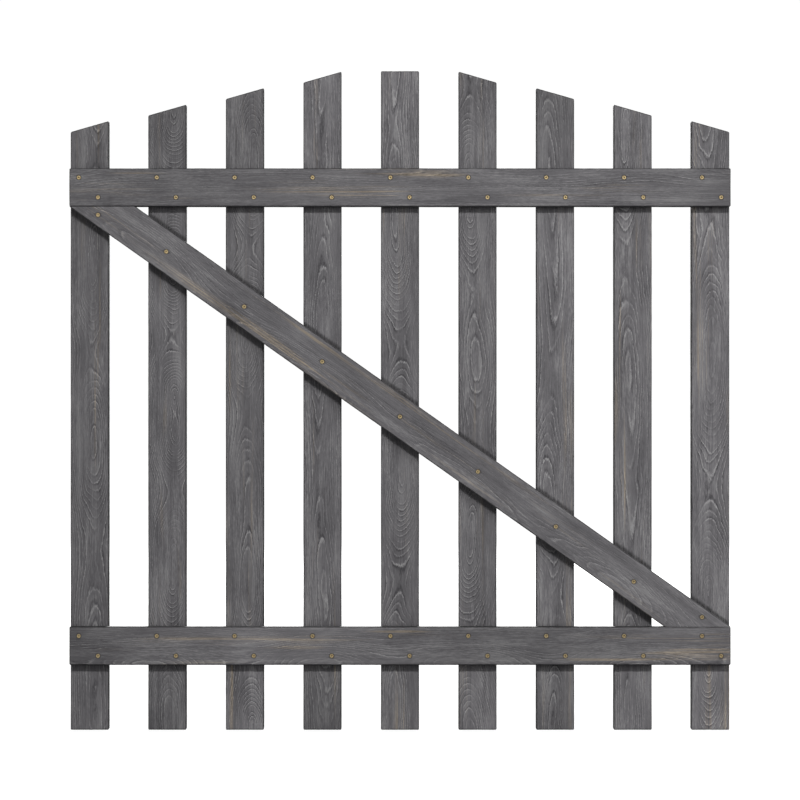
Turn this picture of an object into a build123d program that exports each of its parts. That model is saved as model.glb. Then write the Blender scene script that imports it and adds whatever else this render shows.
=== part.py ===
from build123d import *
import os
from math import asin, atan2, degrees, hypot, radians, tan

# A braced picket garden gate leaf, in millimetres.
#
# +Z is up and the feet of the pickets stand at Z = 0.  X runs across the gate, with X = 0 on the
# centre picket.  Y = 0 is the joint plane: the pickets are behind it (+Y), and the rails and the
# brace are screwed on in front of it (-Y).

# ---- overall ----
gate_width = 1000  # outer edge of the first picket to outer edge of the last
peak_height = 1000  # top of the centre picket

# ---- pickets ----
picket_count = 9  # odd, so that one picket stands on the centre line
picket_width = 58
picket_thickness = 18
crown_step = 25  # each picket's long edge is this much shorter than its neighbour's
crown_angle = 16  # slope of the sawn picket tops, in degrees

# ---- rails ----
rail_width = 58
rail_thickness = 18
bottom_rail_height = 100  # picket feet to the underside of the bottom rail
top_rail_drop = 74  # higher edge of the outer pickets down to the top of the top rail

# ---- brace ----
brace_width = 58
brace_thickness = 18

# ---- edges ----
arris_radius = 2  # rounded edges of every planed board

# ---- countersunk wood screws ----
screw_back_cover = 5.8  # wood left between a screw's point and the back of the picket
screw_head_radius = 3.5
screw_head_rim = 0.2  # height of the head's straight rim
screw_thread_radius = 1.75  # over the thread
screw_core_radius = 1.15  # between the turns of the thread
screw_pitch = 2
screw_plain_length = 5  # from the top of the head to the first turn
screw_point_length = 4
recess_span = 3.6  # cross recess in the head, tip to tip
recess_slot = 0.9
recess_depth = 1.6
recess_draft = 8  # degrees
screw_turn = 137.5  # each screw stops this many degrees further round than the one before it

# ---- screw positions ----
picket_screw_edge = 14.5  # picket's long edge to the nearer screw
rail_screw_edge = 14  # rail's long edge to the nearer screw
upper_end_screw_drop = 12.5  # underside of the top rail to the brace's first screw
lower_end_screw_rise = 14.5  # top of the bottom rail to the brace's last screw

# ---- clearances ----
head_sink = 0.2  # top of the screw head below the face of the wood
head_gap = 0.05  # screw head to countersink, measured across the axis
shank_gap = 0.25  # screw thread to the hole in a rail or the brace
thread_gap = 0.05  # screw thread to the hole in a picket
tip_gap = 1  # screw point to the bottom of its hole

# ---- places that follow from the sizes above ----
picket_pitch = (gate_width - picket_width) / (picket_count - 1)
picket_x = [(i - (picket_count - 1) / 2) * picket_pitch for i in range(picket_count)]
pickets_each_side = (picket_count - 1) // 2


def long_edge_height(index):
    """Height of the higher edge of a picket: the crown drops by one step per picket, and the
    pickets beside the flat centre one are as high as it is."""
    steps = abs(index - pickets_each_side)
    return peak_height - crown_step * max(steps - 1, 0)


bottom_rail_top = bottom_rail_height + rail_width
top_rail_underside = long_edge_height(0) - top_rail_drop - rail_width
rail_spacing = top_rail_underside - bottom_rail_top
brace_middle = (bottom_rail_top + top_rail_underside) / 2

# The brace runs down from the left end of the top rail to the right end of the bottom rail.  Its
# lower edge starts at the top rail's corner and its upper edge ends at the bottom rail's corner.
brace_angle = degrees(
    asin(brace_width / hypot(gate_width, rail_spacing)) + atan2(rail_spacing, gate_width)
)
brace_slope = tan(radians(brace_angle))

# Each screw passes through a rail or the brace into a picket.  One length serves both: it is 30
# for boards of 18.
screw_length = min(rail_thickness, brace_thickness) + picket_thickness - head_sink - screw_back_cover
screw_offset_across = picket_width / 2 - picket_screw_edge
screw_offset_up = rail_width / 2 - rail_screw_edge

joint_plane = Plane.XZ
rail_front = Plane.XZ.offset(rail_thickness)
brace_front = Plane.XZ.offset(brace_thickness)


def rail_screws(index, underside):
    """The two screws where a rail crosses a picket, on the crossing's diagonal, as (X, Z)."""
    middle = underside + rail_width / 2
    return [
        (picket_x[index] - screw_offset_across, middle + screw_offset_up),
        (picket_x[index] + screw_offset_across, middle - screw_offset_up),
    ]


def brace_screw(index):
    """The screw where the brace crosses a picket, as (X, Z).  It is on the brace's centre line,
    except at the outer pickets, where the rail covers that and the screw is nearer the rail."""
    if index == 0:
        return (picket_x[index] + screw_offset_across, top_rail_underside - upper_end_screw_drop)
    if index == picket_count - 1:
        return (picket_x[index] - screw_offset_across, bottom_rail_top + lower_end_screw_rise)
    return (picket_x[index], brace_middle - picket_x[index] * brace_slope)


def every_picket(screws_at):
    """Joins the screw positions that screws_at gives for each picket."""
    return [point for index in range(picket_count) for point in screws_at(index)]


def drive_holes(front, points):
    """Countersunk holes right through the board, made from its front face."""
    with Locations(front):
        with Locations(*points):
            CounterSinkHole(
                radius=screw_thread_radius + shank_gap,
                counter_sink_radius=screw_head_radius + screw_head_rim + head_sink + head_gap,
                counter_sink_angle=90,
            )


def turned(points, first_turn):
    """The places of a row of screws, each turned a little further round its own axis."""
    return [
        Location((across, up, 0), (0, 0, (first_turn + number) * screw_turn))
        for number, (across, up) in enumerate(points)
    ]


os.makedirs("parts", exist_ok=True)


# ---- the two rails: planed boards as long as the gate is wide ----
def make_rail(label, underside):
    with BuildPart() as rail:
        with BuildSketch(joint_plane):
            with Locations((0, underside + rail_width / 2)):
                Rectangle(gate_width, rail_width)
        extrude(amount=rail_thickness)
        fillet(rail.edges(), radius=arris_radius)
        drive_holes(rail_front, every_picket(lambda index: rail_screws(index, underside)))
    rail.part.label = label
    export_step(rail.part, f"parts/{label}.step")


make_rail("bottom_rail", bottom_rail_height)
make_rail("top_rail", top_rail_underside)

# ---- the brace: a planed board with its ends sawn level, so that they butt against the rails ----
brace_stock = gate_width + rail_spacing  # longer than the brace before its ends are sawn
brace_section = Plane(
    origin=(0, -brace_thickness / 2, brace_middle),
    x_dir=(0, 1, 0),
    z_dir=Vector(1, 0, 0).rotate(Axis.Y, brace_angle),
)
with BuildPart() as brace:
    with BuildSketch(brace_section):
        RectangleRounded(brace_thickness, brace_width, arris_radius)
    extrude(amount=brace_stock / 2, both=True)
    split(bisect_by=Plane.XY.offset(top_rail_underside), keep=Keep.BOTTOM)
    split(bisect_by=Plane.XY.offset(bottom_rail_top), keep=Keep.TOP)
    drive_holes(brace_front, every_picket(lambda index: [brace_screw(index)]))
brace.part.label = "brace"
export_step(brace.part, "parts/brace.step")


# ---- the pickets: upright boards with tops sawn along the crown ----
def make_picket(index):
    left_height = long_edge_height(index)
    right_height = left_height
    drop = picket_width * tan(radians(crown_angle))
    if picket_x[index] < 0:
        left_height -= drop
    if picket_x[index] > 0:
        right_height -= drop
    left = picket_x[index] - picket_width / 2
    right = picket_x[index] + picket_width / 2
    rail_hole_depth = screw_length + head_sink + tip_gap - rail_thickness
    brace_hole_depth = screw_length + head_sink + tip_gap - brace_thickness
    rail_points = rail_screws(index, bottom_rail_height) + rail_screws(index, top_rail_underside)
    with BuildPart() as picket:
        with BuildSketch(joint_plane):
            with BuildLine():
                Polyline((left, 0), (right, 0), (right, right_height), (left, left_height), close=True)
            make_face()
        extrude(amount=-picket_thickness)
        fillet(picket.edges(), radius=arris_radius)
        with Locations(joint_plane):
            with Locations(*rail_points):
                Hole(radius=screw_thread_radius + thread_gap, depth=rail_hole_depth)
            with Locations(brace_screw(index)):
                Hole(radius=screw_thread_radius + thread_gap, depth=brace_hole_depth)
    picket.part.label = f"picket_{index + 1}"
    export_step(picket.part, f"parts/picket_{index + 1}.step")


for index in range(picket_count):
    make_picket(index)

# ---- one screw, with the middle of its head at the origin and its point down ----
cone_end = -screw_head_rim - (screw_head_radius - screw_core_radius)
point_start = screw_point_length - screw_length
turns = int((screw_length - screw_plain_length - screw_point_length) / screw_pitch)
outline = [(0, 0), (screw_head_radius, 0), (screw_head_radius, -screw_head_rim)]
outline.append((screw_core_radius, cone_end))
for turn in range(turns):
    turn_top = -screw_plain_length - turn * screw_pitch
    outline.append((screw_core_radius, turn_top))
    outline.append((screw_thread_radius, turn_top - screw_pitch / 4))
    outline.append((screw_core_radius, turn_top - screw_pitch / 2))
outline.append((screw_core_radius, point_start))
outline.append((0, -screw_length))

with BuildPart() as screw:
    with BuildSketch(Plane.XZ):
        with BuildLine():
            Polyline(*outline, close=True)
        make_face()
    revolve(axis=Axis.Z)
    with BuildSketch(Plane.XY):
        Rectangle(recess_span, recess_slot)
        Rectangle(recess_slot, recess_span)
    extrude(amount=-recess_depth, taper=recess_draft, mode=Mode.SUBTRACT)


# ---- the screws in each picket: two in each rail and one in the brace ----
def make_picket_screws(index):
    rail_points = rail_screws(index, bottom_rail_height) + rail_screws(index, top_rail_underside)
    with BuildPart() as picket_screws:
        with Locations(rail_front.offset(-head_sink)):
            with Locations(*turned(rail_points, index)):
                add(screw.part)
        with Locations(brace_front.offset(-head_sink)):
            with Locations(*turned([brace_screw(index)], index + len(rail_points))):
                add(screw.part)
    picket_screws.part.label = f"picket_{index + 1}_screws"
    export_step(picket_screws.part, f"parts/picket_{index + 1}_screws.step")


for index in range(picket_count):
    make_picket_screws(index)
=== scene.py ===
import math

import bpy
import numpy as np
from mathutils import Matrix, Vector


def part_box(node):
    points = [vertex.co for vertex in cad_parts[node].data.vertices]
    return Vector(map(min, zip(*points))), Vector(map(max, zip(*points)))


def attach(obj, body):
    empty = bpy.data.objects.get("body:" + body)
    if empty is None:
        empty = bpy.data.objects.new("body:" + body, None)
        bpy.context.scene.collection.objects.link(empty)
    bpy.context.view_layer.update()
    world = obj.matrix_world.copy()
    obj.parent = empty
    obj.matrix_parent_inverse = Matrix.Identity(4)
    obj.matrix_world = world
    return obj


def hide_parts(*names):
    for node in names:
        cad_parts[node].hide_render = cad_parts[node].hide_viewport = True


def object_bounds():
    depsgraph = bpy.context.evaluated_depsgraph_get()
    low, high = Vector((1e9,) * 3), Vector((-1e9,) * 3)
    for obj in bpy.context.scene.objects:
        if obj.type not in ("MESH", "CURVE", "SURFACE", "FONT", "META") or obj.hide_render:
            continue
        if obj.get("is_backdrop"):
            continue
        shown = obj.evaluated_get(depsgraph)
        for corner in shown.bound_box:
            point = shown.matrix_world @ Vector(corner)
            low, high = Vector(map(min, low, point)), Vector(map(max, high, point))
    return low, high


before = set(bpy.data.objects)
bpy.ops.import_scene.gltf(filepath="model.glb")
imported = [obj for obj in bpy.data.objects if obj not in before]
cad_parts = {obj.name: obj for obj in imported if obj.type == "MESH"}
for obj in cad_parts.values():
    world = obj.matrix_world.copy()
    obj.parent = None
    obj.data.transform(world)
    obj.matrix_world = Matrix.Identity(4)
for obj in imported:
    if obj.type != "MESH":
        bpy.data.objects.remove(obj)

cad_low, cad_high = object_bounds()
scene = bpy.context.scene

# A braced picket garden gate leaf in dark grey stained softwood.  Each board of the CAD model is
# replaced by a finely gridded board of the same size, with planed relief, worn arrises and screw
# holes, and each picket's five CAD screws by five screws with a cross recess and a thread.
# All lengths are in metres.

# ---- camera: straight on, at half the gate's height ----
camera_distance = 4.34
camera_lens = 128.7
camera_rise = 0.0007
camera_data = bpy.data.cameras.new("camera")
camera_data.sensor_width = 36.0
camera_data.lens = camera_lens
camera_data.clip_end = 200.0
camera = bpy.data.objects.new("camera", camera_data)
camera.location = (0.0, -camera_distance, (cad_low.z + cad_high.z) / 2 + camera_rise)
camera.rotation_euler = (math.radians(90), 0.0, 0.0)
scene.collection.objects.link(camera)
scene.camera = camera
scene.view_settings.view_transform = "Standard"


# ---- node helpers ----
def add_node(tree, kind, inputs=None, **settings):
    """Adds a shader node.  Each input is a socket to link from or a plain value."""
    made = tree.nodes.new("ShaderNode" + kind)
    for name, value in settings.items():
        setattr(made, name, value)
    for key, value in (inputs or {}).items():
        if isinstance(value, bpy.types.NodeSocket):
            tree.links.new(value, made.inputs[key])
        else:
            made.inputs[key].default_value = value
    return made


def calc(tree, operation, first, second=0.0, third=0.0):
    """One step of arithmetic."""
    inputs = {0: first, 1: second, 2: third}
    return add_node(tree, "Math", inputs, operation=operation).outputs[0]


def add_swing(tree, noise, size, level):
    """Adds a noise to a level, so that it swings about the level by the given size."""
    return calc(tree, "MULTIPLY_ADD", calc(tree, "SUBTRACT", noise, 0.5), size, level)


def darken(tree, tone, share):
    """Takes a share off a tone."""
    return calc(tree, "MULTIPLY", tone, calc(tree, "SUBTRACT", 1.0, share))


def remap(tree, value, from_low, from_high, to_low=0.0, to_high=1.0, smooth=True):
    """Maps a range to another and holds it at the ends."""
    inputs = {0: value, 1: from_low, 2: from_high, 3: to_low, 4: to_high}
    kind = "SMOOTHSTEP" if smooth else "LINEAR"
    return add_node(tree, "MapRange", inputs, interpolation_type=kind).outputs[0]


def ramp(tree, value, stops):
    """A colour ramp.  Each stop is a position with a grey level or a colour."""
    made = add_node(tree, "ValToRGB", {0: value})
    elements = made.color_ramp.elements
    while len(elements) < len(stops):
        elements.new(1.0)
    for element, (position, colour) in zip(elements, stops):
        element.position = position
        rgb = colour if isinstance(colour, tuple) else (colour,) * 3
        element.color = (*rgb, 1.0)
    return made.outputs[0]


def blend_colours(tree, share, first, second, mode="MIX"):
    """Mixes two colours by a share."""
    colours = [c if isinstance(c, bpy.types.NodeSocket) else (*c, 1.0) for c in (first, second)]
    inputs = {0: share, 6: colours[0], 7: colours[1]}
    return add_node(tree, "Mix", inputs, data_type="RGBA", blend_type=mode).outputs[2]


def streaks(tree, place, along, across, detail, roughness, shift):
    """Noise whose features are `along` metres long down the board and `across` metres wide."""
    scale = (1 / along, 1 / across, 1 / across)
    inputs = {0: place, 1: scale, 2: (shift, shift * 0.7, shift * 1.3)}
    stretched = add_node(tree, "VectorMath", inputs, operation="MULTIPLY_ADD").outputs[0]
    inputs = {"Vector": stretched, "Scale": 1.0, "Detail": detail, "Roughness": roughness}
    return add_node(tree, "TexNoise", inputs).outputs[0]


def measure(tree, attribute, output="Fac"):
    """Reads a measure that the mesh carries at its points."""
    return add_node(tree, "Attribute", attribute_name=attribute).outputs[output]


def new_material(name):
    """An empty node material, its tree and its Principled shader."""
    material = bpy.data.materials.new(name)
    material.use_nodes = True
    tree = material.node_tree
    tree.nodes.clear()
    shader = add_node(tree, "BsdfPrincipled")
    output = add_node(tree, "OutputMaterial", {"Surface": shader.outputs[0]})
    output.is_active_output = True
    return material, tree, shader


# ---- stained wood ----
# Each board mesh carries its own measures for this material: where a point is in the board, how
# many growth rings lie between it and the pith, how near it is to an arris, how far it is turned
# to the board's side, how light the stain is, how far it has worn off, and how much painted shade
# it gets where boards meet.

# Each noise's length along the board and width across it, its detail and roughness, and a shift
# that keeps it apart from the others.
wood_noises = {
    "ragged": (0.007, 0.0012, 3.0, 0.62, 0),
    "bent": (0.05, 0.008, 1.0, 0.5, 3),
    "ring_patch": (0.16, 0.02, 2.0, 0.5, 7),
    "ring_break": (0.007, 0.0022, 2.0, 0.6, 9),
    "fibre": (0.036, 0.0013, 3.0, 0.62, 11),
    "fleck": (0.008, 0.0016, 2.0, 0.55, 13),
    "hair": (0.012, 0.0005, 2.0, 0.5, 15),
    "patch": (0.11, 0.024, 3.0, 0.55, 17),
    "band": (0.7, 0.007, 2.0, 0.5, 19),
    "quiet": (0.2, 0.03, 1.0, 0.5, 21),
    "pore": (0.006, 0.00045, 1.0, 0.5, 23),
    "bare_line": (0.3, 0.0016, 2.0, 0.55, 29),
    "bare_region": (0.3, 0.016, 3.0, 0.55, 31),
    "rub": (0.03, 0.012, 3.0, 0.6, 37),
}
ring_raggedness = 0.62  # how far fibres push a ring's line, in rings
ring_bend = 0.25
ring_plain_level = 0.42
ring_profile = [  # across one ring: a pale line with a dark one beside it
    (0.0, ring_plain_level), (0.34, 0.38), (0.46, 0.5), (0.54, 1.05),
    (0.61, 0.95), (0.7, 0.12), (0.8, 0.02), (1.0, ring_plain_level),
]
ring_strengths = (0.1, 1.3)
fleck_share = 0.5
slow_shares = {"hair": 0.3, "patch": 0.95, "band": 0.5}
pore_share = -0.16
stain_colours = [
    (0.0, (0.050, 0.048, 0.052)),
    (0.5, (0.131, 0.126, 0.133)),
    (1.0, (0.270, 0.265, 0.268)),
]
tan_colours = [(0.15, (0.125, 0.103, 0.078)), (0.85, (0.38, 0.32, 0.25))]
bare_spread = 0.22  # from where bare wood starts to where it is barest
barest = 0.85
# painted shade: the board's sides and ends, and its arrises, darker than its front
painted_side_shade = 0.53
arris_shade = 0.8
rubbed_arris_shade = 0.25
wood_bump_height = 0.0005


def make_wood(name, shift, bare_start, ring_share, fibre_share):
    """Stained wood.  Bare wood shows where its noise passes bare_start, and the two shares are how
    strongly the growth rings and the fibres show."""
    material, tree, shader = new_material(name)
    place = measure(tree, "board_place", "Vector")
    noise = {}
    for key, (along, across, detail, roughness, own_shift) in wood_noises.items():
        noise[key] = streaks(tree, place, along, across, detail, roughness, shift + own_shift)

    # growth rings, ragged where fibres cross them, some stronger than others, and broken up
    ring = calc(tree, "MULTIPLY_ADD", noise["ragged"], ring_raggedness, measure(tree, "board_ring"))
    ring = calc(tree, "MULTIPLY_ADD", noise["bent"], ring_bend, ring)
    ring_line = ramp(tree, calc(tree, "FRACT", ring), ring_profile)
    ring_number = calc(tree, "FLOOR", ring)
    chance = add_node(tree, "TexWhiteNoise", {"W": ring_number}, noise_dimensions="1D").outputs[0]
    ring_strength = remap(tree, chance, 0.0, 1.0, *ring_strengths, smooth=False)
    ring_patch = remap(tree, noise["ring_patch"], 0.4, 0.58, 0.25, 1.1)
    ring_break = remap(tree, noise["ring_break"], 0.36, 0.6, 0.5, 1.2)
    ring_patch = calc(tree, "MULTIPLY", ring_patch, ring_break)
    ring_offset = calc(tree, "SUBTRACT", ring_line, ring_plain_level)
    ring_offset = calc(tree, "MULTIPLY", ring_offset, ring_strength)
    ring_offset = calc(tree, "MULTIPLY", ring_offset, ring_patch)

    # fibres, flecks, pores and slow patches of stain
    pore = remap(tree, noise["pore"], 0.64, 0.76)
    quiet = remap(tree, noise["quiet"], 0.35, 0.65, 0.5, 1.3)
    fine = add_swing(tree, noise["fibre"], fibre_share, 0.0)
    fine = add_swing(tree, noise["fleck"], fleck_share, fine)
    level = calc(tree, "MULTIPLY_ADD", ring_offset, ring_share, 0.5)
    level = calc(tree, "MULTIPLY_ADD", fine, quiet, level)
    for key, share in slow_shares.items():
        level = add_swing(tree, noise[key], share, level)
    level = calc(tree, "MULTIPLY_ADD", pore, pore_share, level)
    stain = ramp(tree, level, stain_colours)

    # bare streaks: thin lines in the regions where the stain has worn off the pale early wood
    worn_off = measure(tree, "board_bare")
    bare_line = calc(tree, "MULTIPLY_ADD", ring_offset, 0.1, noise["bare_line"])
    bare_line = calc(tree, "MULTIPLY_ADD", worn_off, 0.05, bare_line)
    bare_line = remap(tree, bare_line, 0.47, 0.58)
    bare_region = calc(tree, "MULTIPLY_ADD", worn_off, 0.33, noise["bare_region"])
    bare_region = remap(tree, bare_region, bare_start, bare_start + bare_spread, 0.0, barest)
    bare = calc(tree, "MULTIPLY", bare_line, bare_region)
    colour = blend_colours(tree, bare, stain, ramp(tree, level, tan_colours))

    # the board's sides and ends and its arrises get painted shade, less on rubbed spots of the
    # arrises; painted shade also darkens the front where boards meet
    side = measure(tree, "board_side")
    tone = calc(tree, "MULTIPLY_ADD", side, -painted_side_shade, measure(tree, "board_tone"))
    rubbed = remap(tree, noise["rub"], 0.56, 0.7)
    arris_shade_share = remap(tree, rubbed, 0.0, 1.0, arris_shade, rubbed_arris_shade, smooth=False)
    tone = darken(tree, tone, calc(tree, "MULTIPLY", measure(tree, "board_edge"), arris_shade_share))
    thinned = remap(tree, noise["fleck"], 0.3, 0.62, 1.0, 0.75)
    # painted shade where boards meet, thinned in patches
    tone = darken(tree, tone, calc(tree, "MULTIPLY", measure(tree, "board_painted_shade"), thinned))
    tone_colour = add_node(tree, "CombineColor", {0: tone, 1: tone, 2: tone}).outputs[0]
    colour = blend_colours(tree, 1.0, colour, tone_colour, "MULTIPLY")
    tree.links.new(colour, shader.inputs["Base Color"])

    rough = calc(tree, "MULTIPLY_ADD", noise["fibre"], -0.3, 0.86)
    rough = calc(tree, "MULTIPLY_ADD", bare, 0.1, rough)
    tree.links.new(rough, shader.inputs["Roughness"])
    shader.inputs["Specular IOR Level"].default_value = 0.25

    height = calc(tree, "MULTIPLY", noise["fibre"], 0.7)
    height = calc(tree, "MULTIPLY_ADD", ring_offset, 0.6, height)
    height = calc(tree, "MULTIPLY_ADD", noise["hair"], 0.3, height)
    height = calc(tree, "MULTIPLY_ADD", pore, -0.3, height)
    inputs = {"Strength": 0.5, "Distance": wood_bump_height, "Height": height}
    bump = add_node(tree, "Bump", inputs)
    tree.links.new(bump.outputs[0], shader.inputs["Normal"])
    return material


woods = {
    "picket_wood": make_wood(
        "picket_wood", shift=0.0, bare_start=0.56, ring_share=0.9, fibre_share=0.72
    ),
    "rail_wood": make_wood(
        "rail_wood", shift=41.0, bare_start=0.55, ring_share=0.6, fibre_share=0.6
    ),
    "brace_wood": make_wood(
        "brace_wood", shift=83.0, bare_start=0.57, ring_share=0.48, fibre_share=0.56
    ),
}

# ---- yellow zinc plating, with painted shade round the rim of each head and in its recess, and cloudy grime ----
zinc_colours = [(0.3, (0.27, 0.18, 0.08)), (0.5, (0.42, 0.32, 0.16)), (0.7, (0.52, 0.44, 0.27))]
# dark colour for the painted shade at the rim and in the recess, and for the cloudy grime
shade_and_grime_colour = (0.035, 0.03, 0.026)
scratch_scale = (7000.0, 500.0, 500.0)
rim_shade = 0.85
recess_shade = 0.5
cloud_grime = 0.35
most_shade_and_grime = 0.92


def make_plating():
    """Brushed, cloudy zinc, duller where it is grimy and where shade is painted round the rim and in
    the recess.
    """
    material, tree, shader = new_material("yellow_zinc")
    place = measure(tree, "screw_place", "Vector")
    inputs = {0: place, 1: scratch_scale}
    scratch_place = add_node(tree, "VectorMath", inputs, operation="MULTIPLY").outputs[0]

    def speckle(vector, scale, detail):
        inputs = {"Vector": vector, "Scale": scale, "Detail": detail}
        return add_node(tree, "TexNoise", inputs).outputs[0]

    cloud = speckle(place, 700.0, 3.0)
    fine = speckle(place, 4000.0, 2.0)
    scratch = speckle(scratch_place, 1.0, 1.0)

    # painted shade round the rim of the head and in its cross recess, plus cloudy grime
    painted_rim_shade = remap(tree, measure(tree, "screw_radius"), 0.55, 0.92, 0.0, rim_shade)
    recess = calc(tree, "MULTIPLY", measure(tree, "screw_recess"), recess_shade)
    shade_and_grime = calc(tree, "MAXIMUM", painted_rim_shade, recess)
    shade_and_grime = calc(tree, "ADD", shade_and_grime, remap(tree, cloud, 0.52, 0.75, 0.0, cloud_grime))
    shade_and_grime = calc(tree, "MINIMUM", shade_and_grime, most_shade_and_grime)
    colour = blend_colours(tree, shade_and_grime, ramp(tree, cloud, zinc_colours), shade_and_grime_colour)
    tree.links.new(colour, shader.inputs["Base Color"])
    tree.links.new(remap(tree, shade_and_grime, 0.0, 0.9, 0.9, 0.1), shader.inputs["Metallic"])

    clean_rough = remap(tree, cloud, 0.3, 0.7, 0.32, 0.48)
    rough = calc(tree, "MULTIPLY_ADD", shade_and_grime, 0.35, clean_rough)
    tree.links.new(rough, shader.inputs["Roughness"])

    height = calc(tree, "MULTIPLY_ADD", scratch, 0.6, fine)
    bump = add_node(tree, "Bump", {"Strength": 0.3, "Distance": 0.00005, "Height": height})
    tree.links.new(bump.outputs[0], shader.inputs["Normal"])
    return material


plating = make_plating()


def make_piece(name, points, faces, measures, material, sharp_degrees):
    """A smooth mesh object with a material and its measures, sharp where faces meet steeply."""
    mesh = bpy.data.meshes.new(name)
    mesh.from_pydata(points, [], faces)
    mesh.update()
    for label, values in measures.items():
        values = np.asarray(values, np.float32)
        kind, field = ("FLOAT", "value") if values.ndim == 1 else ("FLOAT_VECTOR", "vector")
        mesh.attributes.new(label, kind, "POINT").data.foreach_set(field, values.ravel())
    mesh.shade_smooth()
    mesh.set_sharp_from_angle(angle=math.radians(sharp_degrees))
    mesh.materials.append(material)
    piece = bpy.data.objects.new(name, mesh)
    scene.collection.objects.link(piece)
    return piece


# ---- sizes that part.py gives too ----
arris_radius = 0.002
crown_slope = math.tan(math.radians(16))
picket_screw_edge = 0.0145
rail_screw_edge = 0.014
upper_end_screw_drop = 0.0125
lower_end_screw_rise = 0.0145
countersink_radius = 0.00395
rail_hole_radius = 0.002
picket_hole_radius = 0.0018
picket_hole_depth = 0.0132

# ---- fineness of the board grids ----
grid_along = 0.0034
grid_across = 0.0011
grid_deep = 0.0015
hole_grid = 0.001
hole_margin = 0.0022
closest_lines = 0.0003
arris_shares = (0.3, 0.65, 1.0)  # where grid lines lie over a rounded arris
hole_ring_shares = (0.35, 0.7)  # where rings of points lie between a hole and the grid round it
mouth_bevel = (0.00012, 0.00005)  # inwards and down
# the painted arris shade darkens the inside of each hole by this share
hole_edge = 0.6  # how much like an arris the inside of a hole is

# ---- the boards' growth rings and relief ----
ring_width = 0.0025
warp_count = 7
ring_relief = 0.00006
planing_relief = 0.00007
arris_wear = 0.00028


def grid_lines(length, step, rounded, dense=()):
    """Positions of the grid lines from 0 to length: close together over the rounded ends and in
    each dense (low, high) stretch, and at most step apart between them."""
    fixed = {0.0, length}
    if rounded:
        for share in arris_shares:
            fixed |= {arris_radius * share, length - arris_radius * share}
    for low, high in dense:
        fixed |= set(np.linspace(low, high, max(2, round((high - low) / hole_grid) + 1)))
    kept = []
    for line in sorted(fixed):
        if not kept or line - kept[-1] > closest_lines:
            kept.append(line)
    kept[-1] = length
    lines = [kept[0]]
    for low, high in zip(kept, kept[1:]):
        count = max(1, math.ceil((high - low) / step - 1e-6))
        lines += [low + (high - low) * (n + 1) / count for n in range(count)]
    return np.array(lines)


def wander(rng, count, shortest, longest, size):
    """A smooth wandering function of one distance: a few sines of random length and phase."""
    waves = [
        (size * rng.uniform(0.5, 1.3) / math.sqrt(count), rng.uniform(shortest, longest),
         rng.uniform(0, 2 * math.pi))
        for _ in range(count)
    ]
    return lambda x: sum(a * np.sin(2 * math.pi * x / length + p) for a, length, p in waves)


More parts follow.
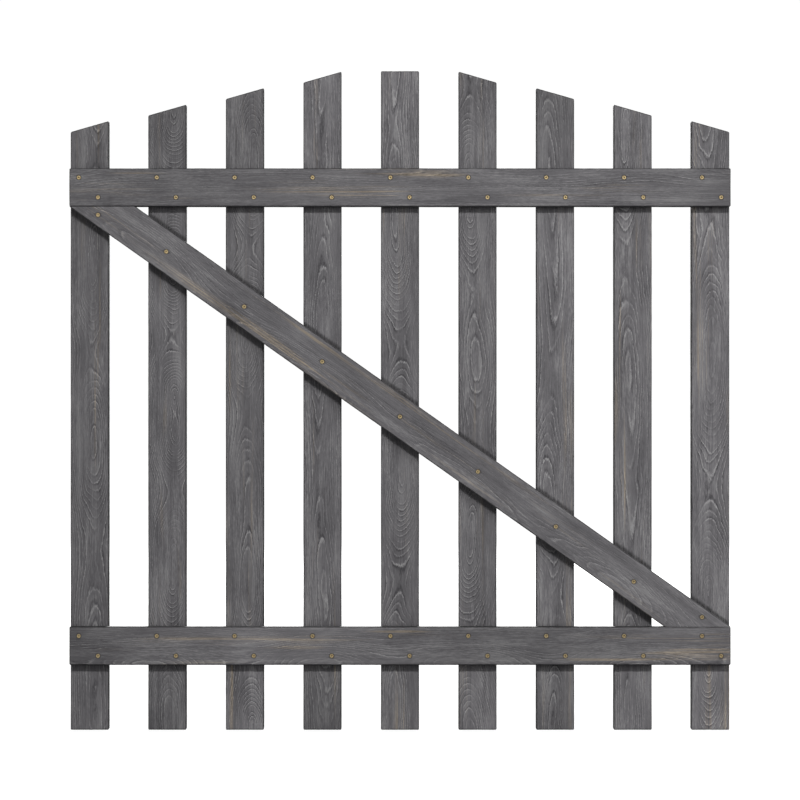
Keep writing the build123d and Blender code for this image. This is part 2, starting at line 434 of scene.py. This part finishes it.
class Board:
    """A planed board.  `start` is the middle of its front face's lower or left end, `along` and
    `across` are its directions on the front face, and +Y goes into it.  Its points are laid out on
    a straight grid first, and lean() then slants its ends."""

    def __init__(self, node, slot, start, along, across, size, seed, pith, tones):
        self.node = node
        self.slot = slot
        self.start = start
        self.along = along
        self.across = across
        self.length, self.width, self.depth = size
        self.seed = seed
        self.pith = pith  # where the pith lies across the board, and how far in front
        self.tones = tones  # how light the stain is, at even steps along the board
        self.skew = 0.0  # how far a grid line across the board leans, at every place along it
        self.far_end_skew = 0.0  # the same, but growing from nothing at the start
        self.rounded_ends = True
        self.holes = []  # (along, across) of each screw
        self.countersunk = True
        self.figure = 1.0  # how much the pith wanders, so how lively the grain's arches are
        self.bare_spots = []  # (share of length, across, reach along, reach across, strength)
        self.shade_and_grime = None  # painted shade where boards meet: a function of world X and Z, for the front face

    def lean(self, along, across):
        """The true distance along the board of a point on the grid."""
        return along + self.skew * across + self.far_end_skew * across * along / self.length

    def unlean(self, along, across):
        """The grid's distance along the board of a true point."""
        stretch = 1 + self.far_end_skew * across / self.length
        return (along - self.skew * across) / stretch

    def count_rings(self, s, t, d):
        """The growth rings between the pith and each point, from its distances along the board,
        across it and into it."""
        rng = np.random.default_rng(self.seed)
        pith_across = wander(rng, 2, 0.4, 1.1, 0.006)
        pith_front = wander(rng, 2, 0.22, 0.5, 0.0125 * self.figure)
        pith_drift = wander(rng, 1, 0.9, 1.6, 0.006 * self.figure)
        beside = t - self.pith[0] - pith_across(s)
        behind = d + self.pith[1] + pith_front(s) + pith_drift(s)
        radius = np.hypot(beside, behind)
        for _ in range(warp_count):
            size = rng.uniform(0.0001, 0.00025)
            long = rng.uniform(0.03, 0.2)
            wide = rng.uniform(0.02, 0.05)
            phase = rng.uniform(0, 2 * math.pi)
            turn = 2 * math.pi * (s / long + (t + 0.6 * d) / wide)
            radius = radius + size * np.sin(turn + phase)
        return radius / ring_width

    def lay_grid(self):
        """Lays the closed grid of faces, with its arrises rolled over and the holes' cells left
        out."""
        half_width = self.width / 2
        self.mouth = countersink_radius if self.countersunk else picket_hole_radius
        reach = self.mouth + hole_margin
        reach_along = reach * math.hypot(1, self.skew)
        self.middles = [(self.unlean(s, t), t) for s, t in self.holes]
        dense = [(s - reach_along, s + reach_along) for s, _ in self.middles]
        lines_s = grid_lines(self.length, grid_along, self.rounded_ends, dense)
        lines_t = grid_lines(self.width, grid_across, True)
        lines_d = grid_lines(self.depth, grid_deep, True)
        last_i, last_j, last_k = len(lines_s) - 1, len(lines_t) - 1, len(lines_d) - 1
        self.last_k = last_k

        # a point's code is made of its three line numbers, i, j and k
        step_k = 1
        step_j = last_k + 1
        step_i = (last_j + 1) * step_j
        self.code_steps = (step_i, step_j)

        def code(i, j, k):
            return i * step_i + j * step_j + k

        def cells(first, second):
            return np.meshgrid(np.arange(first), np.arange(second), indexing="ij")

        def quads(corners, first, second):
            """A face at each corner, which goes round by the first step, then the second."""
            corners = corners.ravel()
            opposite = corners + first + second
            return np.stack([corners, corners + first, opposite, corners + second], axis=1)

        # the grid cells that each hole takes out, as line numbers
        self.windows = []
        for s, t in self.middles:
            rows = [int(np.abs(lines_s - s - d).argmin()) for d in (-reach_along, reach_along)]
            columns = [int(np.abs(lines_t - half_width - t - d).argmin()) for d in (-reach, reach)]
            self.windows.append((rows, columns))

        # the six sides, each wound to face outwards
        i, j = cells(last_i, last_j)
        whole = np.ones(i.shape, bool)
        for rows, columns in self.windows:
            whole[rows[0]:rows[1], columns[0]:columns[1]] = False
        front = code(i, j, 0)[whole]
        back = code(i, j, last_k)
        if self.countersunk:
            back = back[whole]
        faces = [quads(front, step_i, step_j), quads(back, step_j, step_i)]
        i, k = cells(last_i, last_k)
        faces.append(quads(code(i, 0, k), step_k, step_i))
        faces.append(quads(code(i, last_j, k), step_i, step_k))
        j, k = cells(last_j, last_k)
        faces.append(quads(code(0, j, k), step_j, step_k))
        faces.append(quads(code(last_i, j, k), step_k, step_j))
        faces = np.concatenate(faces)

        codes, welded = np.unique(faces, return_inverse=True)
        self.faces = welded.reshape(faces.shape).tolist()
        self.number_of = dict(zip(codes.tolist(), range(len(codes))))
        plane, k = np.divmod(codes, step_j)
        i, j = np.divmod(plane, last_j + 1)
        flat = np.stack([lines_s[i], lines_t[j] - half_width, lines_d[k]], axis=1)

        # roll the arrises over
        low = np.array([0.0, -half_width, 0.0]) + arris_radius
        high = np.array([self.length, half_width, self.depth]) - arris_radius
        if not self.rounded_ends:
            low[0] = 0.0
            high[0] = self.length
        core = np.clip(flat, low, high)
        out = flat - core
        reach_out = np.linalg.norm(out, axis=1, keepdims=True)
        flat_end = reach_out[:, 0] < 1e-9
        out[flat_end, 0] = np.where(i[flat_end] == 0, -1.0, 1.0)
        out[~flat_end] /= reach_out[~flat_end]
        points = np.where(flat_end[:, None], flat, core + out * arris_radius)
        turn = np.sort(np.abs(out), axis=1)[:, 1]
        edge = np.clip(turn / math.sqrt(0.5), 0, 1)
        side = 1 - np.clip(np.abs(out[:, 2]) / 0.7, 0, 1) ** 2
        self.points = points.tolist()
        self.out = out.tolist()  # the direction out of the wood at each point
        self.edge = edge.tolist()
        self.side = side.tolist()

    def add_ring(self, ring_points, out, edge):
        """Adds a ring of points and returns their numbers."""
        first = len(self.points)
        self.points.extend(ring_points)
        self.out.extend([out] * len(ring_points))
        self.edge.extend([edge] * len(ring_points))
        self.side.extend([0.0] * len(ring_points))
        return list(range(first, len(self.points)))

    def join(self, outer, inner):
        """Faces between two rings."""
        count = len(outer)
        for n in range(count):
            m = (n + 1) % count
            self.faces.append([outer[n], outer[m], inner[m], inner[n]])

    def border(self, window, k):
        """The grid points round a hole's cells, on the front or the back."""
        (i0, i1), (j0, j1) = window
        loop = [(i, j0) for i in range(i0, i1)] + [(i1, j) for j in range(j0, j1)]
        loop += [(i, j1) for i in range(i1, i0, -1)] + [(i0, j) for j in range(j1, j0, -1)]
        step_i, step_j = self.code_steps
        return [self.number_of[i * step_i + j * step_j + k] for i, j in loop]

    def cut_hole(self, middle, window):
        """Rings of points from the grid to the hole's mouth, down it, and out or to its floor."""
        s, t = middle
        ring = self.border(window, 0)
        border_points = np.array([self.points[n][:2] for n in ring])
        true_points = border_points.copy()
        true_points[:, 0] = self.lean(border_points[:, 0], border_points[:, 1])
        true_centre = np.array([self.lean(s, t), t])
        aim = true_points - true_centre
        aim /= np.linalg.norm(aim, axis=1, keepdims=True)

        def circle(radius, depth):
            """A true circle round the hole's axis, in grid coordinates."""
            true = true_centre + aim * radius
            return [[self.unlean(a, b), b, depth] for a, b in true]

        def cross(ring, from_points, to_points, depth, out):
            """Flat rings between a ring's points and the next one's."""
            for share in hole_ring_shares:
                between = from_points + (to_points - from_points) * share
                inner = self.add_ring([[a, b, depth] for a, b in between], out, 0.0)
                self.join(ring, inner)
                ring = inner
            return ring

        mouth_points = np.array(circle(self.mouth, 0.0))[:, :2]
        ring = cross(ring, border_points, mouth_points, 0.0, [0, 0, -1])
        steps = [(self.mouth, 0.0)]
        if self.countersunk:
            taper = countersink_radius - rail_hole_radius
            steps.append((self.mouth - mouth_bevel[0], mouth_bevel[1]))
            steps.append((self.mouth - taper * 0.5, taper * 0.5))
            steps.append((rail_hole_radius, taper))
            steps.append((rail_hole_radius, self.depth * 0.5))
            steps.append((rail_hole_radius, self.depth))
        else:
            steps.append((self.mouth, picket_hole_depth / 2))
            steps.append((self.mouth, picket_hole_depth))
        for radius, depth in steps:
            inner = self.add_ring(circle(radius, depth), [0, 0, 0], hole_edge)
            self.join(ring, inner)
            ring = inner

        if self.countersunk:
            inner_points = np.array([self.points[n][:2] for n in ring])
            ring = cross(ring, inner_points, border_points, self.depth, [0, 0, 1])
            self.join(ring, self.border(window, self.last_k))
        else:
            centre = self.add_ring([[s, t, picket_hole_depth]], [0, 0, 0], hole_edge)[0]
            for n in range(len(ring)):
                self.faces.append([ring[n], ring[(n + 1) % len(ring)], centre])

    def relief(self, s, t, d, rings, edge):
        """How far each point is sunk: planed faces that aren't quite flat, soft grain, and rubbed
        arrises."""
        rng = np.random.default_rng(self.seed + 1000)
        slow = wander(rng, 3, 0.05, 0.4, 1.0)(s + 0.8 * t) * np.cos(t * 90 + rng.uniform(0, 6))
        worn = wander(rng, 4, 0.008, 0.09, 1.0)(s) * wander(rng, 2, 0.01, 0.05, 1.0)(t + d)
        sunk = ring_relief * (1 - np.cos(2 * math.pi * rings))
        sunk = sunk + planing_relief * (1 + np.clip(slow, -1, 1))
        return sunk + arris_wear * np.clip(worn, 0, 1) * edge

    def build(self):
        """Makes the board's mesh object, with its holes and the measures its material reads."""
        self.lay_grid()
        for middle, window in zip(self.middles, self.windows):
            self.cut_hole(middle, window)
        points = np.array(self.points)
        out = np.array(self.out, float)
        edge = np.array(self.edge)
        s = self.lean(points[:, 0], points[:, 1])
        t = points[:, 1]
        d = points[:, 2]
        rings = self.count_rings(s, t, d)
        true_points = np.stack([s, t, d], axis=1)
        sunk = self.relief(s, t, d, rings, edge)
        local = true_points - out * sunk[:, None]
        place = self.start + np.outer(local[:, 0], self.along) + np.outer(local[:, 1], self.across)
        place[:, 1] += local[:, 2]

        steps = np.linspace(0, 1, len(self.tones))
        bare = np.zeros(len(place))
        for share, across, reach_s, reach_t, strength in self.bare_spots:
            far = ((s - share * self.length) / reach_s) ** 2 + ((t - across) / reach_t) ** 2
            bare += strength * np.exp(-far)
        # painted shade where boards meet, on the front face only
        shade_and_grime = np.zeros(len(place))
        if self.shade_and_grime:
            shade_and_grime = self.shade_and_grime(place[:, 0], place[:, 2]) * np.clip(-out[:, 2], 0, 1)
        measures = {
            "board_ring": rings,
            "board_edge": edge,
            "board_side": self.side,
            "board_bare": bare,
            "board_tone": np.interp(s / self.length, steps, self.tones),
            "board_painted_shade": shade_and_grime,
            "board_place": true_points + self.seed * np.array([1.37, 0.91, 0.53]),
        }
        name = f"{self.node}_board"
        piece = make_piece(name, place.tolist(), self.faces, measures, woods[self.slot], 40)
        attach(piece, "root")
        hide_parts(self.node)


# ---- places, from the CAD model's boxes ----
picket_count = sum(1 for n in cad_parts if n.startswith("picket_") and not n.endswith("_screws"))
picket_nodes = [f"picket_{n + 1}" for n in range(picket_count)]
picket_boxes = [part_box(n) for n in picket_nodes]
picket_middles = [(low.x + high.x) / 2 for low, high in picket_boxes]
picket_width = picket_boxes[0][1].x - picket_boxes[0][0].x
rail_boxes = {n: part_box(n) for n in ("bottom_rail", "top_rail")}
brace_low, brace_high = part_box("brace")
brace_width = rail_boxes["top_rail"][1].z - rail_boxes["top_rail"][0].z
brace_spread = (brace_high.x - brace_low.x, brace_high.z - brace_low.z)
brace_angle = math.asin(brace_width / math.hypot(*brace_spread)) + math.atan2(
    brace_spread[1], brace_spread[0]
)
brace_middle = (brace_low.z + brace_high.z) / 2
screw_across = picket_width / 2 - picket_screw_edge


def rail_screw_places(index):
    """The (X, Z) of the screws in both rails at one picket."""
    places = []
    for low, high in rail_boxes.values():
        middle = (low.z + high.z) / 2
        offset = (high.z - low.z) / 2 - rail_screw_edge
        places.append((picket_middles[index] - screw_across, middle + offset))
        places.append((picket_middles[index] + screw_across, middle - offset))
    return places


def brace_screw_place(index):
    """The (X, Z) of the brace's screw at one picket."""
    x = picket_middles[index]
    if index == 0:
        return (x + screw_across, brace_high.z - upper_end_screw_drop)
    if index == picket_count - 1:
        return (x - screw_across, brace_low.z + lower_end_screw_rise)
    return (x, brace_middle - x * math.tan(brace_angle))


# ---- the pickets ----
# painted shade on the pickets' fronts beside the brace and the rails
hidden_reach = 0.004  # how far the painted shade goes on under a rail or the brace
ledge_shade = 0.74
ledge_reach = 0.0047
ledge_fade = 0.0005
under_brace = (0.55, 0.011)  # strength, and the distance over which it fades
above_rail = (0.3, 0.004)
under_rail = (0.6, 0.0014)


def fading(distance, strength, fade):
    """Painted shade that is strongest at a board and fades away from it."""
    return strength * np.exp(-np.clip(distance, 0, 1) / fade)


def painted_contact_shade(x, z):
    """How much shade is painted on a picket's front: most on the ledge above the brace, some under
    it, a little above each rail, and a thin line in the seam under each rail."""
    from_middle = (z - brace_middle) * math.cos(brace_angle) + x * math.sin(brace_angle)
    above = from_middle - brace_width / 2
    below = -from_middle - brace_width / 2
    between_rails = (z > brace_low.z) & (z < brace_high.z)
    ledge = ledge_shade / (1 + np.exp((above - ledge_reach) / ledge_fade))
    found = np.where(between_rails & (above > -hidden_reach), ledge, 0)
    found = np.where(between_rails & (below > -hidden_reach), fading(below, *under_brace), found)
    for low, high in rail_boxes.values():
        for distance, kind in ((z - high.z, above_rail), (low.z - z, under_rail)):
            darker = np.maximum(found, fading(distance, *kind))
            found = np.where(distance > -hidden_reach, darker, found)
    return found


picket_tones = [  # at the foot, in the middle and at the top
    (0.85, 0.76, 0.72), (0.7, 0.85, 0.6), (1.1, 0.78, 0.68), (0.62, 0.88, 1.0), (0.9, 0.86, 1.0),
    (1.02, 0.88, 0.78), (0.75, 0.99, 0.65), (1.06, 0.92, 1.02), (1.18, 1.01, 0.9),
]
picket_piths = [
    (-0.007, 0.019), (-0.009, 0.017), (-0.007, 0.016), (0.001, 0.019), (0.003, 0.017),
    (0.008, 0.018), (0.006, 0.02), (0.007, 0.016), (0.002, 0.019),
]
first_picket_seed = 11
up = np.array([0.0, 0.0, 1.0])
right = np.array([1.0, 0.0, 0.0])
for index, (low, high) in enumerate(picket_boxes):
    middle = picket_middles[index]
    side_of_centre = (index > (picket_count - 1) / 2) - (index < (picket_count - 1) / 2)
    drop = picket_width * crown_slope * abs(side_of_centre)
    size = (high.z - low.z - drop / 2, picket_width, high.y - low.y)
    start = np.array([middle, low.y, low.z])
    foot_tone, middle_tone, top_tone = picket_tones[index]
    tones = [foot_tone] + [middle_tone] * 4 + [top_tone]
    seed = first_picket_seed + index
    board = Board(
        picket_nodes[index], "picket_wood", start, up, -right, size, seed, picket_piths[index], tones
    )
    board.far_end_skew = crown_slope * side_of_centre
    board.countersunk = False
    places = rail_screw_places(index) + [brace_screw_place(index)]
    board.holes = [(z - low.z, middle - x) for x, z in places]
    board.shade_and_grime = painted_contact_shade
    board.build()

# ---- the rails ----
rails = {
    "bottom_rail": {
        "seed": 37,
        "pith": (-0.03, 0.024),
        "tones": [0.6, 0.82, 0.99, 0.88, 0.74, 0.66, 0.82, 0.92],
        "bare_spots": [
            (0.95, -0.008, 0.06, 0.009, 1.0), (0.8, -0.021, 0.07, 0.004, 0.9),
            (0.35, -0.002, 0.05, 0.005, 0.9), (0.5, 0.021, 0.06, 0.004, 0.8),
            (0.15, 0.012, 0.08, 0.005, 0.5),
        ],
    },
    "top_rail": {
        "seed": 31,
        "pith": (0.034, 0.02),
        "tones": [0.74, 0.7, 0.78, 0.84, 0.86, 0.88, 0.86, 0.72],
        "bare_spots": [
            (0.11, 0.022, 0.06, 0.004, 0.9), (0.44, -0.01, 0.09, 0.006, 0.8),
            (0.55, 0.018, 0.07, 0.005, 0.9), (0.86, 0.004, 0.08, 0.006, 0.5),
        ],
    },
}
for name, rail in rails.items():
    low, high = rail_boxes[name]
    size = (high.x - low.x, high.z - low.z, high.y - low.y)
    start = np.array([low.x, low.y, (low.z + high.z) / 2])
    board = Board(name, "rail_wood", start, right, up, size, rail["seed"], rail["pith"], rail["tones"])
    places = [p for n in range(picket_count) for p in rail_screw_places(n) if low.z < p[1] < high.z]
    board.holes = [(x - low.x, z - start[2]) for x, z in places]
    board.bare_spots = rail["bare_spots"]
    board.figure = 0.65
    board.build()

# ---- the brace ----
brace_seed = 43
brace_pith = (-0.026, 0.028)
brace_tones = [0.84, 0.86, 0.9, 0.88, 0.9, 0.98]
slant = brace_width / math.sin(brace_angle)  # its width measured level
start = np.array([brace_low.x + slant / 2, brace_low.y, brace_high.z])
along = np.array([math.cos(brace_angle), 0.0, -math.sin(brace_angle)])
across = np.array([math.sin(brace_angle), 0.0, math.cos(brace_angle)])
size = (brace_spread[1] / math.sin(brace_angle), brace_width, brace_high.y - brace_low.y)
board = Board(
    "brace", "brace_wood", start, along, across, size, brace_seed, brace_pith, brace_tones
)
board.skew = 1 / math.tan(brace_angle)
board.rounded_ends = False
board.figure = 0.6
board.bare_spots = [
    (0.17, -0.021, 0.11, 0.006, 1.0), (0.29, -0.016, 0.08, 0.005, 0.95),
    (0.42, -0.01, 0.08, 0.003, 0.8), (0.62, 0.0, 0.14, 0.004, 0.7),
    (0.8, 0.0, 0.06, 0.004, 0.4), (0.5, 0.021, 0.2, 0.003, 0.7),
]
for n in range(picket_count):
    x, z = brace_screw_place(n)
    offset = np.array([x, start[1], z]) - start
    board.holes.append((float(offset @ along), float(offset @ across)))
board.build()

# ---- the screws ----
screw_sides = 44
head_radius = 0.0035
head_rim = 0.0002
head_sink = 0.0002
head_ring_count = 20
thread_radius = 0.00175
core_radius = 0.00115
thread_pitch = 0.002
thread_ring_step = 0.00032
thread_sharpness = 2.4
thread_run_in = 0.002
plain_length = 0.005
point_length = 0.004
point_shares = (0.0, 0.3, 0.6, 0.85, 0.99)
screw_length = 0.03
recess_reach = 0.0018
recess_half_slot = 0.00045
recess_depth = 0.0016
recess_end = 0.0003
screw_turn = math.radians(137.5)


def soft_step(value, low, high):
    """0 below low, 1 above high, smooth between."""
    share = np.clip((value - low) / (high - low), 0, 1)
    return share * share * (3 - 2 * share)


def recess_arm(across, along):
    """One arm of the cross recess: 1 inside it, 0 outside."""
    inside = soft_step(-np.abs(across), -recess_half_slot - 0.00012, -recess_half_slot + 0.00008)
    return inside * soft_step(-np.abs(along), -recess_reach, -recess_reach + recess_end)


def screw_rings():
    """One screw as rings of points: (X, Y, depth), with each point's share of the head's radius
    and of the recess's depth.  The first ring is at the head's middle."""
    head = [(r, 0.0) for r in np.linspace(0.0001, head_radius - 0.00015, head_ring_count)]
    head += [(head_radius - 0.00004, 0.00004), (head_radius, 0.00012), (head_radius, head_rim)]
    taper = head_radius - core_radius
    body = [(head_radius - taper * k, head_rim + taper * k) for k in (0.25, 0.5, 0.75, 1.0)]
    body += [(core_radius, head_rim + taper + 0.0012), (core_radius, plain_length)]
    point_start = screw_length - point_length
    thread_depths = np.arange(plain_length + 0.0003, point_start, thread_ring_step)
    threads = [(core_radius, depth) for depth in thread_depths]
    point = [(core_radius * (1 - k), point_start + point_length * k) for k in point_shares]
    outline = np.array(head + body + threads + point)
    angle = np.linspace(0, 2 * math.pi, screw_sides, endpoint=False)
    radius = np.repeat(outline[:, :1], screw_sides, axis=1)
    depth = np.repeat(outline[:, 1:], screw_sides, axis=1)

    # the thread winds round the core and runs in and out at its ends
    turn = depth / thread_pitch - angle / (2 * math.pi)
    crest = np.clip(1 - thread_sharpness * np.abs(turn - np.round(turn)), 0, 1)
    run_in = soft_step(depth, plain_length, plain_length + thread_run_in)
    run_out = 1 - soft_step(depth, point_start - 0.001, point_start + 0.002)
    on_core = radius <= core_radius + 1e-9
    radius = radius + (thread_radius - core_radius) * crest * (run_in * run_out) * on_core

    # the cross recess sinks the middle of the head
    x = radius * np.cos(angle)
    y = radius * np.sin(angle)
    on_head = (np.arange(len(outline)) < len(head))[:, None]
    recess = np.maximum(recess_arm(y, x), recess_arm(x, y)) * on_head
    depth = depth + recess_depth * recess * (1 - 0.45 * radius / recess_reach)
    points = np.stack([x, y, depth], axis=2)
    return points, np.clip(radius / head_radius, 0, 1), recess


screw_points, screw_radii, screw_recesses = screw_rings()


def build_screws(index):
    """The five screws in one picket, as one piece."""
    points, faces, radii, recesses, places = [], [], [], [], []
    ring_count = len(screw_points)
    local = screw_points.reshape(-1, 3)
    screw_places = rail_screw_places(index) + [brace_screw_place(index)]
    for number, (x, z) in enumerate(screw_places):
        first = len(points)
        cos = math.cos((index + number) * screw_turn)
        sin = math.sin((index + number) * screw_turn)
        across = local[:, 0] * cos - local[:, 1] * sin
        up = local[:, 0] * sin + local[:, 1] * cos
        deep = cad_low.y + head_sink + local[:, 2]
        points += np.stack([x + across, deep, z + up], axis=1).tolist()
        radii += screw_radii.ravel().tolist()
        recesses += screw_recesses.ravel().tolist()
        places += (local + 0.37 * (index * 5 + number + 1)).tolist()

        # the middle of the head and the tip of the point close the two ends
        head_middle = len(points)
        tip = head_middle + 1
        points += [[x, deep[0], z], [x, cad_low.y + head_sink + screw_length, z]]
        radii += [0.0, 0.0]
        recesses += [1.0, 0.0]
        places += [places[first], places[head_middle - 1]]
        for ring in range(ring_count - 1):
            for side in range(screw_sides):
                near = first + ring * screw_sides + side
                next_near = first + ring * screw_sides + (side + 1) % screw_sides
                faces.append([near, near + screw_sides, next_near + screw_sides, next_near])
        last_ring = first + (ring_count - 1) * screw_sides
        for side in range(screw_sides):
            after = (side + 1) % screw_sides
            faces.append([head_middle, first + side, first + after])
            faces.append([last_ring + after, last_ring + side, tip])
    measures = {"screw_radius": radii, "screw_recess": recesses, "screw_place": places}
    name = f"picket_{index + 1}_wood_screws"
    piece = make_piece(name, points, faces, measures, plating, 50)
    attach(piece, "root")
    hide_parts(f"picket_{index + 1}_screws")


for index in range(picket_count):
    build_screws(index)

# ---- floor, backdrop and light ----
floor_half = 60.0
floor_cells = 24
floor_grey = 0.32
floor_glow = (0.78, 1.02)  # near the gate, and far away
glow_reach = (1.5, 4.5)
backdrop_light = 1.02
diffuse_fill = 0.135
glossy_fill = 0.5


def make_floor():
    """A pale floor, so wide that its edge is out of sight."""
    steps = np.linspace(-floor_half, floor_half, floor_cells + 1)
    points = [(x, y, cad_low.z) for x in steps for y in steps]
    row = floor_cells + 1
    faces = [
        (a * row + b, (a + 1) * row + b, (a + 1) * row + b + 1, a * row + b + 1)
        for a in range(floor_cells)
        for b in range(floor_cells)
    ]
    mesh = bpy.data.meshes.new("floor")
    mesh.from_pydata(points, [], faces)
    floor = bpy.data.objects.new("floor", mesh)
    scene.collection.objects.link(floor)
    material = bpy.data.materials.new("pale_floor")
    material.use_nodes = True
    tree = material.node_tree
    tree.nodes.clear()
    place = add_node(tree, "TexCoord").outputs["Object"]
    away = add_node(tree, "VectorMath", {0: place}, operation="LENGTH").outputs["Value"]
    glow = remap(tree, away, *glow_reach, *floor_glow)
    light = add_node(tree, "Emission", {"Strength": glow})
    matt = add_node(tree, "BsdfDiffuse", {"Color": (floor_grey, floor_grey, floor_grey, 1.0)})
    both = add_node(tree, "AddShader", {0: light.outputs[0], 1: matt.outputs[0]})
    add_node(tree, "OutputMaterial", {"Surface": both.outputs[0]})
    mesh.materials.append(material)
    floor.visible_diffuse = False
    floor.visible_glossy = False
    floor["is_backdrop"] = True


def make_world():
    """A white backdrop for the camera, and a weaker light from all round for the gate."""
    world = bpy.data.worlds.new("studio")
    scene.world = world
    world.use_nodes = True
    tree = world.node_tree
    tree.nodes.clear()
    inputs = {"Color": (1.0, 1.0, 1.0, 1.0), "Strength": backdrop_light}
    seen = add_node(tree, "Background", inputs)
    path = add_node(tree, "LightPath")
    glossy = path.outputs["Is Glossy Ray"]
    strength = remap(tree, glossy, 0.0, 1.0, diffuse_fill, glossy_fill, smooth=False)
    fill = add_node(tree, "Background", {"Color": (0.98, 0.99, 1.0, 1.0), "Strength": strength})
    inputs = {0: path.outputs["Is Camera Ray"], 1: fill.outputs[0], 2: seen.outputs[0]}
    chosen = add_node(tree, "MixShader", inputs)
    add_node(tree, "OutputWorld", {"Surface": chosen.outputs[0]})


def add_light(name, place, size, power):
    """A rectangular studio light at place, turned to face the gate's middle."""
    data = bpy.data.lights.new(name, "AREA")
    data.shape = "RECTANGLE"
    data.size, data.size_y = size
    data.energy = power
    light = bpy.data.objects.new(name, data)
    light.location = place
    aim = Vector((0.0, 0.0, 0.5)) - Vector(place)
    light.rotation_euler = aim.to_track_quat("-Z", "Y").to_euler()
    scene.collection.objects.link(light)


make_floor()
make_world()
add_light("key_light", (0.5, -4.0, 2.85), (1.2, 0.35), 162.0)
add_light("right_light", (3.4, -2.6, 1.3), (1.2, 1.2), 47.0)
add_light("left_light", (-2.3, -4.0, 0.5), (0.8, 0.8), 24.0)
add_light("back_light", (0.0, 4.6, 2.6), (1.6, 1.6), 320.0)
# level with the gate, so that these two reach only its ends
add_light("end_light_left", (-4.6, 0.0, 0.9), (0.5, 1.2), 90.0)
add_light("end_light_right", (4.6, 0.0, 0.9), (0.5, 1.2), 90.0)

low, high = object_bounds()
